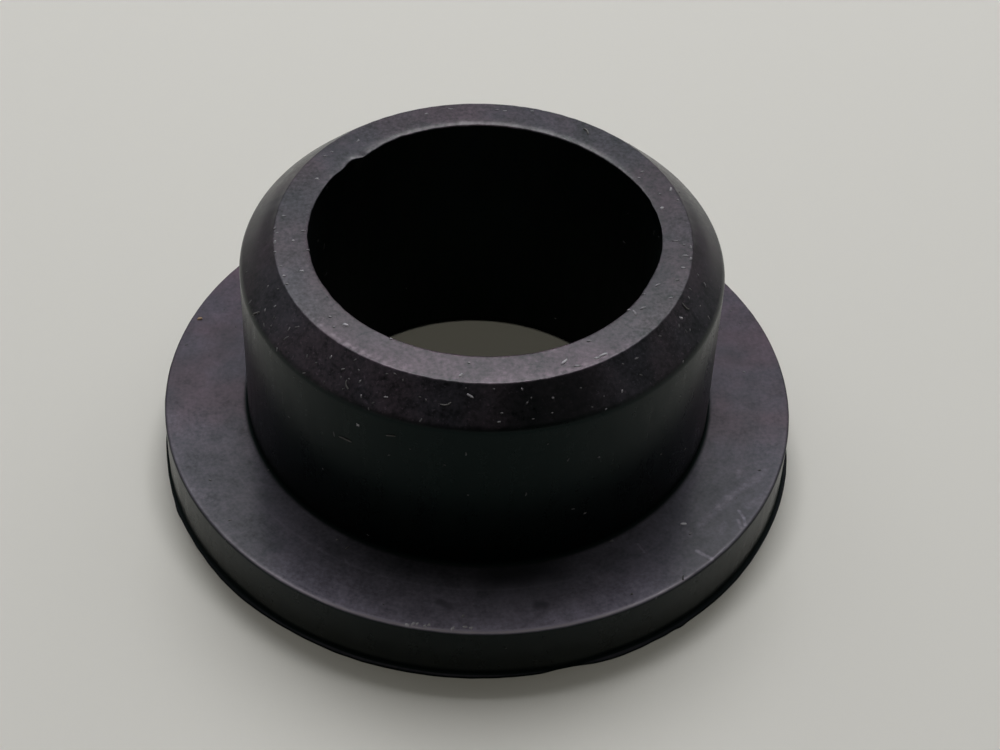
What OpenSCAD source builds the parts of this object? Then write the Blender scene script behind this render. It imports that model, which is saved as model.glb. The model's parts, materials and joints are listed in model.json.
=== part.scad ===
// Insulating ring: a flanged bush moulded in one piece from black rubber.
// The neck pushes through a hole in a panel until the flange seats on it,
// and a pipe, rod or cable passes through the bore without touching metal.
// The origin is the centre of the flange's underside, and +Z runs up the bore.

/* [Bore] */
// Diameter of the hole for the pipe or cable
bore_d = 26.4; // [12:0.1:60]
// Radius on the bore's lip at the nose
bore_top_r = 0.35; // [0.1:0.05:0.6]
// Radius on the bore's lip at the underside
bore_low_r = 0.5; // [0.1:0.05:0.8]

/* [Neck] */
// Thickness of rubber between the bore and the panel's hole
neck_wall = 5.2; // [4.5:0.1:12]
// Straight height of the neck above the flange, up to the lead-in
neck_h = 14.2; // [4:0.1:40]
// Fillet where the neck grows out of the flange
root_r = 0.25; // [0.1:0.05:1]

/* [Nose] */
// Height of the conical lead-in at the top of the neck
lead_in_h = 2.4; // [1.2:0.1:5]
// How far the lead-in narrows the neck, measured along a radius
lead_in_w = 2.4; // [1.2:0.1:3]
// Radius between the neck and the lead-in
lead_in_low_r = 0.3; // [0.1:0.05:0.6]
// Radius between the lead-in and the flat nose
lead_in_top_r = 0.3; // [0.1:0.05:0.6]

/* [Flange] */
// How far the flange stands out beyond the neck
flange_reach = 6.6; // [3:0.1:20]
// Thickness of the flange
flange_t = 4.9; // [2:0.1:10]
// Radius on the flange's upper edge
flange_edge_r = 0.2; // [0.1:0.05:0.8]

/* [Moulding flash] */
// How far the trimmed flash stands out from the flange's rim
flash_w = 0.35; // [0.1:0.05:0.6]
// Thickness of the flash, which lies at the mould's parting plane
flash_t = 0.35; // [0.1:0.05:0.6]

/* [Hidden] */

// Facets of a drawn circle
$fn = 96;

// Radii and heights of the section's corners
bore_r = bore_d / 2;
neck_r = bore_r + neck_wall;
nose_r = neck_r - lead_in_w;
rim_r = neck_r + flange_reach;
flash_r = rim_r + flash_w;
lead_in_z = flange_t + neck_h;
nose_z = lead_in_z + lead_in_h;

// The section's corners, anticlockwise from the bore's lower lip
bore_low = [bore_r, 0];
flash_low = [flash_r, 0];
flash_top = [flash_r, flash_t];
rim_low = [rim_r, flash_t];
rim_top = [rim_r, flange_t];
neck_root = [neck_r, flange_t];
lead_in_low = [neck_r, lead_in_z];
lead_in_top = [nose_r, nose_z];
bore_top = [bore_r, nose_z];

function unit(v) = v / norm(v);

// The sliver between a corner and a radius that touches both of its sides:
// cut away it rounds a convex corner, and added it fillets a concave one
module corner_sliver(before, at, after, r) {
    side_in = unit(before - at);
    side_out = unit(after - at);
    half_angle = acos(side_in * side_out) / 2;
    touch = r / tan(half_angle);
    centre = at + unit(side_in + side_out) * r / sin(half_angle);
    difference() {
        polygon([at, at + side_in * touch, at + side_out * touch]);
        translate(centre) circle(r);
    }
}

// One side of the ring, cut through its axis
module section() {
    difference() {
        union() {
            polygon([
                bore_low, flash_low, flash_top, rim_low, rim_top,
                neck_root, lead_in_low, lead_in_top, bore_top
            ]);
            corner_sliver(rim_top, neck_root, lead_in_low, root_r);
        }
        corner_sliver(bore_top, bore_low, flash_low, bore_low_r);
        corner_sliver(rim_low, rim_top, neck_root, flange_edge_r);
        corner_sliver(neck_root, lead_in_low, lead_in_top, lead_in_low_r);
        corner_sliver(lead_in_low, lead_in_top, bore_top, lead_in_top_r);
        corner_sliver(lead_in_top, bore_top, bore_low, bore_top_r);
    }
}

module insulating_ring() {
    color([0.09, 0.09, 0.1]) rotate_extrude() section();
}

insulating_ring();
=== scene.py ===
# %% [markdown]
# A moulded rubber ring
# This lesson dresses one small part: a flanged ring of black rubber, moulded in one shot.
# The exact solid already exists, so the lesson starts from its sizes and never changes them.
# What it adds is what the mould and the workbench added: a ragged flash, a trimmed lip,
# a waxy bloom on the faces that look up, worn edges, and dust.

# %% Open the frame
import json
from types import SimpleNamespace

import bpy
import numpy as np
from mathutils import Matrix, Vector
from mathutils.bvhtree import BVHTree


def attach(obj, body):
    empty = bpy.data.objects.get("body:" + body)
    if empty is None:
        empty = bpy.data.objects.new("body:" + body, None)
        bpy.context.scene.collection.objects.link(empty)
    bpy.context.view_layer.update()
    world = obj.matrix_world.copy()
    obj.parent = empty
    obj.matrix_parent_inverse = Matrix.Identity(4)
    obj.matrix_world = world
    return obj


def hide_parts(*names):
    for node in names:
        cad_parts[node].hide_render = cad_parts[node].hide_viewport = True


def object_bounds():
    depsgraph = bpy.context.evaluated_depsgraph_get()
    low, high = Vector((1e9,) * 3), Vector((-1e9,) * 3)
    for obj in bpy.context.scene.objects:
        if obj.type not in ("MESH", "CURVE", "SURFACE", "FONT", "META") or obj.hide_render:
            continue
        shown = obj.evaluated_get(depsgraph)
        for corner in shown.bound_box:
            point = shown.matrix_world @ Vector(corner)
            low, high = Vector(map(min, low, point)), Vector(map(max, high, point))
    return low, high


MM = 0.001
TAU = 2 * np.pi
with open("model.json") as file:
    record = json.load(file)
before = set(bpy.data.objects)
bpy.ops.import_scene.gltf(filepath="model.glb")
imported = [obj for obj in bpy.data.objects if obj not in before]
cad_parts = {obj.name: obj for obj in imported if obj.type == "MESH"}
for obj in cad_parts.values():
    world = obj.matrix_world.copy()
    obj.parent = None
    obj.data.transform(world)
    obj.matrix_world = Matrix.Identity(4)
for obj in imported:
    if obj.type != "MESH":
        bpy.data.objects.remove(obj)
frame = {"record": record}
cad_low, cad_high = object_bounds()
print("CAD box in mm:", [round(side / MM, 2) for side in cad_high - cad_low])

# %% [markdown]
# The sizes of the section
# A ring is one outline turned about an axis, so all of its sizes are radii and heights.
# The ones that other parts fit, such as the bore and the neck, come from the record's mounts,
# so that the dressed ring can't drift away from the solid. The rest are edges that nothing fits.

# %% Radii and heights
mounts = {mount["name"]: mount for mount in frame["record"]["mounts"]}
bore_r = mounts["bore"]["dims"]["r_mm"] * MM
neck_r = mounts["neck"]["dims"]["r_mm"] * MM
flange_z = mounts["flange_seat"]["pos_m"][2]
nose_z = mounts["nose_face"]["pos_m"][2]
flash_r = cad_high.x
flash_w = 0.35 * MM
flash_t = 0.35 * MM
rim_r = flash_r - flash_w
lead_in = 2.4 * MM
nose_r = neck_r - lead_in
lead_in_z = nose_z - lead_in
print(f"bore {bore_r / MM:.1f}, neck {neck_r / MM:.1f}, rim {rim_r / MM:.1f}, height {nose_z / MM:.1f} mm")

# %% [markdown]
# The camera
# The photograph shows the ring's circles as ellipses. Their tilt and the way they shrink towards
# the back fix where the camera stood: about 18 cm away, looking down at 45 degrees, with a long lens.
# The camera is made first, because the dust is later placed by looking through it.

# %% Stand the camera where the photograph was taken
PHOTO_W, PHOTO_H = 1000, 750
FOCAL_PX = 2178.4
SENSOR_W = 36.0
CAMERA_AT = Vector((0.0, -124.04, 128.73)) * MM
CAMERA_PAN = -0.0137
CAMERA_TILT = -0.7774
CAMERA_ROLL = 0.0450
CLIP_NEAR = 10 * MM

camera = bpy.data.objects.new("camera", bpy.data.cameras.new("camera"))
bpy.context.scene.collection.objects.link(camera)
bpy.context.scene.camera = camera
camera.data.sensor_width = SENSOR_W
camera.data.lens = FOCAL_PX / PHOTO_W * SENSOR_W
camera.data.clip_start = CLIP_NEAR
pan = Matrix.Rotation(CAMERA_PAN, 4, "Z")
rise = Matrix.Rotation(TAU / 4 + CAMERA_TILT, 4, "X")
roll = Matrix.Rotation(CAMERA_ROLL, 4, "Z")
camera_turn = pan @ rise @ roll
camera.matrix_world = Matrix.Translation(CAMERA_AT) @ camera_turn
print(f"lens {camera.data.lens:.1f} mm, {CAMERA_AT.length / MM:.0f} mm from the ring")

# %% [markdown]
# The section
# A sharp corner never catches the light, and nothing moulded has one. So the outline is written
# as corners with a radius each, and a function swaps every corner for an arc that touches both sides.
# Points crowd together at the ends of each straight side. That keeps the bend of the shading
# next to the arcs, where it belongs, and lets the flat faces shade flat.

# %% A rounded outline from corners
ARC_STEPS = 6
BORE_FOOT_EDGE = 0.5 * MM
FLASH_FOOT_EDGE = 0.06 * MM
FLASH_TOP_EDGE = 0.08 * MM
FLASH_ROOT = 0.08 * MM
FLASH_TIP_SHARE = 0.6
RIM_EDGE = 0.22 * MM
NECK_ROOT = 0.25 * MM
LEAD_IN_EDGE = 0.9 * MM
NOSE_EDGE = 0.22 * MM
LIP_EDGE = 0.35 * MM


def rounded_outline(corners):
    """Closed outline through arcs and sides.
    Each corner is (radius from the axis, height, edge radius, steps along the side after it).
    An arc's centre lies on the corner's bisector, at edge radius / sin(half the corner's angle).
    Along a side the share walked is (1 - cos(pi * k / steps)) / 2, so points crowd at both ends."""
    at = np.array([corner[:2] for corner in corners])
    edge = np.array([corner[2] for corner in corners])
    steps = [corner[3] for corner in corners]
    to_last = np.roll(at, 1, 0) - at
    to_next = np.roll(at, -1, 0) - at
    to_last /= np.linalg.norm(to_last, axis=1)[:, None]
    to_next /= np.linalg.norm(to_next, axis=1)[:, None]
    half = np.arccos(np.sum(to_last * to_next, 1)) / 2
    bisector = to_last + to_next
    bisector /= np.linalg.norm(bisector, axis=1)[:, None]
    touch = (edge / np.tan(half))[:, None]
    centre = at + bisector * (edge / np.sin(half))[:, None]
    arc_in = at + to_last * touch - centre
    arc_out = at + to_next * touch - centre
    angle = np.pi - 2 * half
    share = np.linspace(0, 1, ARC_STEPS + 1)[None, :]
    fade_in = np.sin((1 - share) * angle[:, None]) / np.sin(angle)[:, None]
    fade_out = np.sin(share * angle[:, None]) / np.sin(angle)[:, None]
    arcs = centre[:, None] + fade_in[..., None] * arc_in[:, None] + fade_out[..., None] * arc_out[:, None]
    pieces = []
    for arc, following, count in zip(arcs, np.roll(arcs, -1, 0), steps):
        walk = (1 - np.cos(np.pi * np.arange(1, count) / count)) / 2
        side = arc[-1] + walk[:, None] * (following[0] - arc[-1])
        pieces += [arc, side]
    return np.concatenate(pieces)


section = rounded_outline([
    (bore_r, 0.0, BORE_FOOT_EDGE, 10),
    (flash_r, 0.0, FLASH_FOOT_EDGE, 3),
    (flash_r, FLASH_TIP_SHARE * flash_t, FLASH_TOP_EDGE, 4),
    (rim_r, flash_t, FLASH_ROOT, 10),
    (rim_r, flange_z, RIM_EDGE, 16),
    (neck_r, flange_z, NECK_ROOT, 16),
    (neck_r, lead_in_z, LEAD_IN_EDGE, 9),
    (nose_r, nose_z, NOSE_EDGE, 14),
    (bore_r, nose_z, LIP_EDGE, 16),
])
print(f"section of {len(section)} points")

# %% [markdown]
# What the mould and the knife left
# A real ring isn't perfectly round. Rubber squeezes out between the mould's halves as a thin flash
# round the foot, and a blade trims the lip of the bore. Both edges wander. The wander is a sum of
# cosines with whole numbers of lobes, so that it closes on itself, plus a few bells
# for the places where the photograph shows a nick, a tongue or a torn stretch.
# A bell is noted as its height, its azimuth and its half width in degrees, with the front at -90.

# %% Waves and bells round the ring
ROUND = 640
FLAW_SEED = 11
azimuth = np.arange(ROUND) / ROUND * TAU - np.pi
wander = np.random.default_rng(FLAW_SEED)


def ripple(size, low, high, count):
    """Sum of count cosines of low to high lobes with random phases, scaled to the usual size."""
    lobes = wander.integers(low, high, count)
    phase = wander.uniform(0, TAU, count)
    return size * (np.cos(np.outer(azimuth, lobes) + phase).sum(1) / np.sqrt(count / 2))


def degrees_past(start_deg):
    """How far each azimuth lies past the start, measured the short way round."""
    return np.degrees(np.angle(np.exp(1j * (azimuth - np.radians(start_deg)))))


def bells(*noted):
    """Sum of smooth bumps: height x exp(-(angle from the bump's azimuth / half width) squared)."""
    return sum(height * np.exp(-((degrees_past(at) / half) ** 2)) for height, at, half in noted)


def tooth(foot_deg, top_deg, end_deg):
    """Grows as share walked ** 1.5 from nought at the foot to one at the top, then falls to the end."""
    walked = degrees_past(foot_deg)
    climb = np.clip(walked / (top_deg - foot_deg), 0, 1) ** 1.5
    fall = np.clip((end_deg - foot_deg - walked) / (end_deg - top_deg), 0, 1)
    return climb * fall


print(f"{ROUND} steps of {360 / ROUND:.2f} degrees")

# %% How far each edge wanders, in millimetres
LIP_BULGE = 0.26
NICK_DEPTH = 0.42
LIP_PULL = 0.2
ROLL_DEPTH = 0.065
FLASH_USUAL = 0.33
FLASH_LEAST, FLASH_MOST = 0.06, 0.5

lip_wave = ripple(0.012, 3, 9, 4) + ripple(0.008, 20, 60, 8)
lip_wave = lip_wave + LIP_BULGE * (1 - (1 - bells((1, 12, 19))) ** 2)
lip_wave = lip_wave + bells((-0.1, 80, 42), (0.07, -128, 12), (-0.06, -168, 9), (-0.07, -21, 6))
lip_nick = bells((0.07, 143, 2), (-0.1, 148, 3.5), (0.06, 121, 1.2)) - NICK_DEPTH * tooth(121, 138, 141.5)
lip_nick = lip_nick + bells((0.04, -176, 2), (-0.05, -150, 3), (0.04, -38, 2.5))
lip_soft = LIP_PULL + bells((0.2, 85, 50), (0.25, -90, 60))
lip_roll = np.clip(bells((1.6, 90, 60)), 0, 1) * (ROLL_DEPTH + ripple(0.008, 16, 60, 10))
flash_reach = FLASH_USUAL + ripple(0.03, 4, 16, 6) + ripple(0.007, 30, 100, 10)
flash_reach = flash_reach + bells((-0.22, -73, 3.5), (-0.12, -84, 9), (0.08, -51, 1.0), (0.07, -64, 4))
flash_reach = flash_reach + bells((-0.15, -164, 12), (0.08, -157, 2), (-0.2, 62, 6), (-0.15, 118, 4))
flash_reach = np.clip(flash_reach, FLASH_LEAST, FLASH_MOST)
print(f"flash reaches {flash_reach.min():.2f} to {flash_reach.max():.2f} mm")

# %% How high the flash stands, how wavy the edges are, and how worn, which is partly a painted highlight
FLASH_LOWEST, FLASH_HIGHEST = 0.5, 1.3
RIM_WEAR_AND_GLINT = 0.9
NOSE_WEAR_AND_GLINT, NOSE_WEAR_AND_GLINT_MOST = 0.5, 1.4

flash_height = np.clip(1 + ripple(0.05, 6, 30, 6) + bells((-0.3, -73, 4)), FLASH_LOWEST, FLASH_HIGHEST)
edge_wave = ripple(0.004, 12, 60, 10) + ripple(0.003, 60, 120, 12)
nose_wave = edge_wave + ripple(0.006, 40, 110, 12)
nose_wave = nose_wave + bells((-0.26, 180, 38), (-0.26, 0, 38), (-0.1, 100, 40))
# The flange's front edge and patches of the nose's edge are worn pale, partly as a painted highlight.
flange_wear_and_glint = np.clip(bells((1.2, -90, 52)), 0, 1) * (RIM_WEAR_AND_GLINT + ripple(0.12, 20, 90, 10))
nose_wear_and_glint = bells((0.5, -127, 10), (0.4, -60, 8), (0.12, -90, 45))
nose_wear_and_glint = nose_wear_and_glint * np.clip(NOSE_WEAR_AND_GLINT + ripple(0.6, 60, 160, 14), 0, NOSE_WEAR_AND_GLINT_MOST)
print(f"the nose's edge is worn by up to {nose_wear_and_glint.max():.2f}")

# %% [markdown]
# The ring's surface
# The surface is a grid: one parameter walks round the axis and the other along the section.
# Every point starts on the perfect ring, and each flaw moves it by its own amount,
# with a weight that is one at the flawed edge and fades away from it. Both parameters close on themselves,
# so the mesh has no seam and no open edge, like a doughnut.

# %% Carry the section round the axis
LIP_CORE, LIP_FADE = 0.4 * MM, 0.8 * MM
BORE_REACH = 0.5 * MM
WAVE_REACH, NICK_REACH = 1.6 * MM, 0.45 * MM
ROLL_WIDE, ROLL_REACH = 0.7 * MM, 0.5 * MM
RIM_REACH, NOSE_REACH = 0.3 * MM, 1.0 * MM
FLASH_TOP_SLACK = 1.01


def edge_share(outline, edge, reach):
    """One on an edge of the section, fading as exp(-(distance / reach) squared)."""
    return np.exp(-((np.linalg.norm(outline - np.array(edge), axis=1) / reach) ** 2))[None, :]


def soft_lip(outline):
    """Radius and height of the outline at each azimuth, with the lip's corner drawn together:
    offset from the corner x local softness, which fades to one over the lip's fade."""
    lip = np.array((bore_r, nose_z))
    off_lip = np.linalg.norm(outline - lip, axis=1)
    fade = np.clip((off_lip - LIP_CORE) / LIP_FADE, 0, 1)[None, :]
    draw = lip_soft[:, None] + (1 - lip_soft[:, None]) * fade
    r = lip[0] + (outline[:, 0] - lip[0])[None, :] * draw
    z = lip[1] + (outline[:, 1] - lip[1])[None, :] * draw
    return r, z


def ring_grid(outline):
    """Points of the ring, one row for each azimuth and one column for each point of the outline.
    Radius = the soft lip's + the lip's wave and nick x their weights, or rim + flash share x local reach,
    + the waves of the rim's and the nose's edges x how near the point is to them.
    Height = the soft lip's, times the local flash height on the flash, less the lip's roll,
    which is its depth x (1 - distance from the bore / the roll's width) squared."""
    r, z = soft_lip(outline)
    below_lip = nose_z - z
    near_bore = np.exp(-np.maximum(r - bore_r, 0) / BORE_REACH)
    wave_weight = near_bore * np.exp(-below_lip / WAVE_REACH)
    nick_weight = near_bore * np.exp(-below_lip / NICK_REACH)
    radius = r + MM * (lip_wave[:, None] * wave_weight + lip_nick[:, None] * nick_weight)
    out_share = np.clip((r - rim_r) / flash_w, 0, 1)
    radius = np.where(r > rim_r, rim_r + out_share * flash_reach[:, None] * MM, radius)
    on_flash = (r > rim_r) & (z <= FLASH_TOP_SLACK * flash_t)
    height = np.where(on_flash, z * flash_height[:, None], z)
    rolled = np.clip(1 - (r - bore_r) / ROLL_WIDE, 0, 1) ** 2 * np.exp(-below_lip / ROLL_REACH)
    height = height - MM * lip_roll[:, None] * rolled
    radius = radius + MM * edge_wave[:, None] * edge_share(outline, (rim_r, flange_z), RIM_REACH)
    radius = radius + MM * nose_wave[:, None] * edge_share(outline, (nose_r, nose_z), NOSE_REACH)
    turn = azimuth[:, None]
    return np.stack([radius * np.cos(turn), radius * np.sin(turn), height], -1)


ring_points = ring_grid(section)
print("ring in mm:", np.round(np.ptp(ring_points.reshape(-1, 3), axis=0) / MM, 2))


# %% Faces between the points
def closed_faces(rows, columns):
    """Quads between neighbours on a grid that closes both ways, wound so that they face outwards."""
    row = np.arange(rows)[:, None]
    column = np.arange(columns)[None, :]
    next_row = (row + 1) % rows
    next_column = (column + 1) % columns
    quad = [row * columns + column, next_row * columns + column,
            next_row * columns + next_column, row * columns + next_column]
    return np.stack(np.broadcast_arrays(*quad), -1).reshape(-1, 4)


def add_piece(name, points, faces, material):
    """A smooth-shaded mesh object at the origin, with its place in its points."""
    mesh = bpy.data.meshes.new(name)
    mesh.from_pydata(points.reshape(-1, 3), [], faces)
    mesh.shade_smooth()
    mesh.materials.append(material)
    mesh.validate()
    piece = bpy.data.objects.new(name, mesh)
    bpy.context.scene.collection.objects.link(piece)
    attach(piece, "root")
    return piece


def write_values(piece, name, values):
    """Gives every point of the piece a value of its own, which its material can read by name."""
    values = np.asarray(values, np.float32).ravel()
    piece.data.attributes.new(name, "FLOAT", "POINT").data.foreach_set("value", values)


ring_faces = closed_faces(ROUND, len(section))
print(f"ring of {len(ring_faces)} quads")

# %% [markdown]
# Shader maths in Python
# A finish is a small calculation that runs at every point of the surface. Blender writes it as
# boxes and wires, which grow hard to read. The class below lets the calculation be written
# as a formula instead: each sum or product of wires adds the Math node that does it.


# %% A wire that can be added and multiplied
class Wire:
    """A node's output. Arithmetic on wires and numbers adds Math nodes to the same tree."""

    def __init__(self, tree, output=None):
        self.tree = tree
        self.output = output

    def node(self, kind, settings=None, inputs=None, output=0):
        """Adds a node: first its settings, then a number, a colour or a wire for each socket."""
        made = self.tree.nodes.new(kind)
        for name, value in (settings or {}).items():
            setattr(made, name, value)
        for name, value in (inputs or {}).items():
            if isinstance(value, Wire):
                self.tree.links.new(value.output, made.inputs[name])
            else:
                made.inputs[name].default_value = value
        return Wire(self.tree, made.outputs[output])

    def maths(self, operation, *terms):
        return self.node("ShaderNodeMath", {"operation": operation}, dict(enumerate(terms)))

    def vector(self, operation, *terms, output="Vector"):
        return self.node("ShaderNodeVectorMath", {"operation": operation}, dict(enumerate(terms)), output)

    def __add__(self, other):
        return self.maths("ADD", self, other)

    def __sub__(self, other):
        return self.maths("SUBTRACT", self, other)

    def __rsub__(self, other):
        return self.maths("SUBTRACT", other, self)

    def __mul__(self, other):
        return self.maths("MULTIPLY", self, other)

    def __truediv__(self, other):
        return self.maths("DIVIDE", self, other)

    def __rtruediv__(self, other):
        return self.maths("DIVIDE", other, self)

    def __pow__(self, other):
        return self.maths("POWER", self, other)

    __radd__ = __add__
    __rmul__ = __mul__

    def clamped(self):
        return self.node("ShaderNodeClamp", None, {"Value": self})

    def between(self, low, high):
        """Nought below low, one above high, and a smooth step between them."""
        inputs = {"Value": self, "From Min": low, "From Max": high}
        return self.node("ShaderNodeMapRange", {"interpolation_type": "SMOOTHSTEP"}, inputs)

    def mixed(self, first, second):
        """First colour where this wire is nought, second where it is one."""
        return self.node("ShaderNodeMix", {"data_type": "RGBA"}, {0: self, 6: first, 7: second}, 2)

    def noise(self, place, size, detail=2.0, roughness=0.5):
        """Cloudy values about one half, with blobs of the given size in the place's own unit."""
        inputs = {"Vector": place, "Scale": 1 / size, "Detail": detail, "Roughness": roughness}
        return self.node("ShaderNodeTexNoise", None, inputs)


def new_material(name):
    """A material with a Principled shader: the material, the shader node and a wire to start from."""
    material = bpy.data.materials.new(name)
    material.use_nodes = True
    return material, material.node_tree.nodes["Principled BSDF"], Wire(material.node_tree)


def feed(start, shader, socket, wire):
    start.tree.links.new(wire.output, shader.inputs[socket])


print("wires can be added, multiplied and mixed")

# %% [markdown]
# Looking through the camera
# A pixel is a direction. Turned by the camera's own matrix, it becomes a ray in the room,
# and a search tree over the ring's faces finds the first one that the ray meets.
# The tree also gives that face's normal, which is all that is needed to lay a fleck flat later on.

# %% From pixels to places on the rubber
ring_tree = BVHTree.FromPolygons(ring_points.reshape(-1, 3).tolist(), ring_faces.tolist())
camera_right, camera_up, camera_back = np.array(camera_turn.to_3x3()).T


def on_the_ring(pixels):
    """Spot, normal and distance where the ray of each pixel meets the ring.
    Ray = right x (across - middle) - up x (down - middle) - back x focal length, all in pixels."""
    across, down = np.array(pixels, float).T
    rays = np.outer(across - PHOTO_W / 2, camera_right) - np.outer(down - PHOTO_H / 2, camera_up)
    rays = rays - FOCAL_PX * camera_back
    hits = [ring_tree.ray_cast(CAMERA_AT, Vector(ray)) for ray in rays]
    hits = [hit for hit in hits if hit[0] is not None]
    spots, normals, _, away = zip(*hits)
    return np.array(spots), np.array(normals), np.array(away)


def lay_flat(direction, normals):
    """The direction with its part along each normal taken out, scaled back to length one."""
    flat = direction - np.sum(direction * normals, 1, keepdims=True) * normals
    return flat / np.linalg.norm(flat, axis=1, keepdims=True)


print("the middle pixel's ray runs along", np.round(-camera_back, 2))

# %% [markdown]
# The rubber
# Carbon makes rubber almost perfectly black, so what the eye sees is mostly the sheen.
# The walls slid along the mould's steel and came out satin. The faces that look up carry a bloom,
# a wax that rises out of the rubber and dries as a faint purple-grey layer, and it lies in patches.
# On the foot and the nose some of the wax stays glossy, as a thin film that Blender calls a coat.
# Edges are worn pale, partly as a painted highlight, and strokes of thinner or thicker bloom are noted
# from the photograph. The mesh brings two values of its own, how far each point faces up and how worn
# its edge is, with the painted highlight in the same value.
# The finish is worked out in steps: where a point lies, the noise there, then bloom, satin and film.

# %% Where a point of the ring lies
ABOVE_FLANGE = 0.3 * MM
OFF_FLASH = (0.4 * MM, 0.9 * MM)
OUT_ON_FLASH = (rim_r + 0.1 * MM, rim_r + 0.2 * MM)
UP_THE_RIM = (1.5 * MM, 4.7 * MM)
OUT_OF_BORE = (bore_r + 0.1 * MM, bore_r + 0.3 * MM)
OFF_ROOT = (neck_r + 0.1 * MM, neck_r + 0.5 * MM)
ABOVE_ROOT = (flange_z + 0.2 * MM, flange_z + 0.7 * MM)
FRONT = (2 * MM, 11 * MM)
OFF_BACK = (-12 * MM, 0)
SIDEWAYS = (0.75, 0.95)


def ring_places(start):
    """Where a point lies: its place in metres, and shares from nought to one for the zones of the ring."""
    at = SimpleNamespace()
    at.spot = start.node("ShaderNodeTexCoord", output="Object")
    at.flat = start.vector("MULTIPLY", at.spot, (1, 1, 0))
    at.radius = start.vector("LENGTH", at.flat, output="Value")
    at.right = start.node("ShaderNodeSeparateXYZ", None, {0: at.spot}, "X")
    at.front = 0 - start.node("ShaderNodeSeparateXYZ", None, {0: at.spot}, "Y")
    at.height = start.node("ShaderNodeSeparateXYZ", None, {0: at.spot}, "Z")
    at.faces_up = start.node("ShaderNodeAttribute", {"attribute_name": "faces_up"}, output="Fac")
    worn_edge = start.node("ShaderNodeAttribute", {"attribute_name": "worn_edge"}, output="Fac")
    # Worn edges, partly a painted highlight.
    at.worn = worn_edge * at.faces_up
    at.on_nose = at.height.between(flange_z, lead_in_z)
    at.below_nose = 1 - at.on_nose
    at.sloping = (1 - at.faces_up) * at.on_nose
    at.on_foot = 1 - at.height.between(flange_z, flange_z + ABOVE_FLANGE)
    at.low_on_rim = 1 - at.height.between(*UP_THE_RIM)
    at.above_flash = at.height.between(*OFF_FLASH)
    at.on_flash = at.radius.between(*OUT_ON_FLASH) * (1 - at.above_flash)
    at.in_front = at.front.between(*FRONT)
    at.behind = 1 - at.front.between(*OFF_BACK)
    at.beside = (at.right * at.right / (at.radius * at.radius)).between(*SIDEWAYS)
    at.in_bore = 1 - at.radius.between(*OUT_OF_BORE)
    off_root = at.radius.between(*OFF_ROOT)
    at.clear_of_root = (at.on_nose + off_root).clamped()
    at.at_root = (1 - off_root) * (1 - at.in_bore) * (1 - at.height.between(*ABOVE_ROOT))
    return at


print(f"the front begins {FRONT[0] / MM:.0f} to {FRONT[1] / MM:.0f} mm ahead of the axis")

# %% The noise in the rubber
GRAIN_SIZE = 0.3 * MM
CLOUD_SIZE = 1.5 * MM
PATCH_SIZE = 8 * MM
TINGE_SIZE = 5 * MM
SPECK_SIZE = 0.22 * MM
SPECK_SPAN = (0.62, 0.78)
TINGE_SPAN = (0.35, 0.65)
TURN_PITCH = 0.16 * MM
TURN_LOBES = (3, 3, 3)
DRAG_LENGTH = 6 * MM
DRAG_LOBES = (25, 25, 25)


def ring_noise(start, at):
    """Grain, clouds and patches about nought, specks and a tinge from nought to one, the fine rings
    that the turned mould left on the flat faces, and the streaks of the pull along the walls.
    Rings and streaks are noise at heading x lobes + (0, 0, radius / pitch or height / length)."""
    noise = SimpleNamespace()
    noise.grain = start.noise(at.spot, GRAIN_SIZE, 2.0, 0.6) - 0.5
    noise.cloud = start.noise(at.spot, CLOUD_SIZE, 3.0, 0.55) - 0.5
    noise.patch = start.noise(at.spot, PATCH_SIZE) - 0.5
    noise.speck = start.noise(at.spot, SPECK_SIZE, 1.0).between(*SPECK_SPAN)
    noise.tinge = start.noise(at.spot, TINGE_SIZE).between(*TINGE_SPAN)
    heading = start.vector("NORMALIZE", at.flat)
    rings = start.node("ShaderNodeCombineXYZ", None, {"Z": at.radius / TURN_PITCH})
    turned_at = start.vector("MULTIPLY_ADD", heading, TURN_LOBES, rings)
    noise.turned = start.noise(turned_at, 1.0, 1.0) - 0.5
    pulls = start.node("ShaderNodeCombineXYZ", None, {"Z": at.height / DRAG_LENGTH})
    dragged_at = start.vector("MULTIPLY_ADD", heading, DRAG_LOBES, pulls)
    noise.dragged = start.noise(dragged_at, 1.0, 2.0, 0.6) - 0.5
    return noise


print(f"noise of {GRAIN_SIZE / MM:.1f}, {CLOUD_SIZE / MM:.1f} and {PATCH_SIZE / MM:.1f} mm")

# %% [markdown]
# Strokes on the rubber
# Handling rubbed the bloom away in places and heaped it up in others. Each such stroke
# is noted as the two pixels that it runs between, its half width in millimetres and its gain,
# which is below nought where the bloom is thinner. Rays through the pixels find its ends on the ring.

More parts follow.
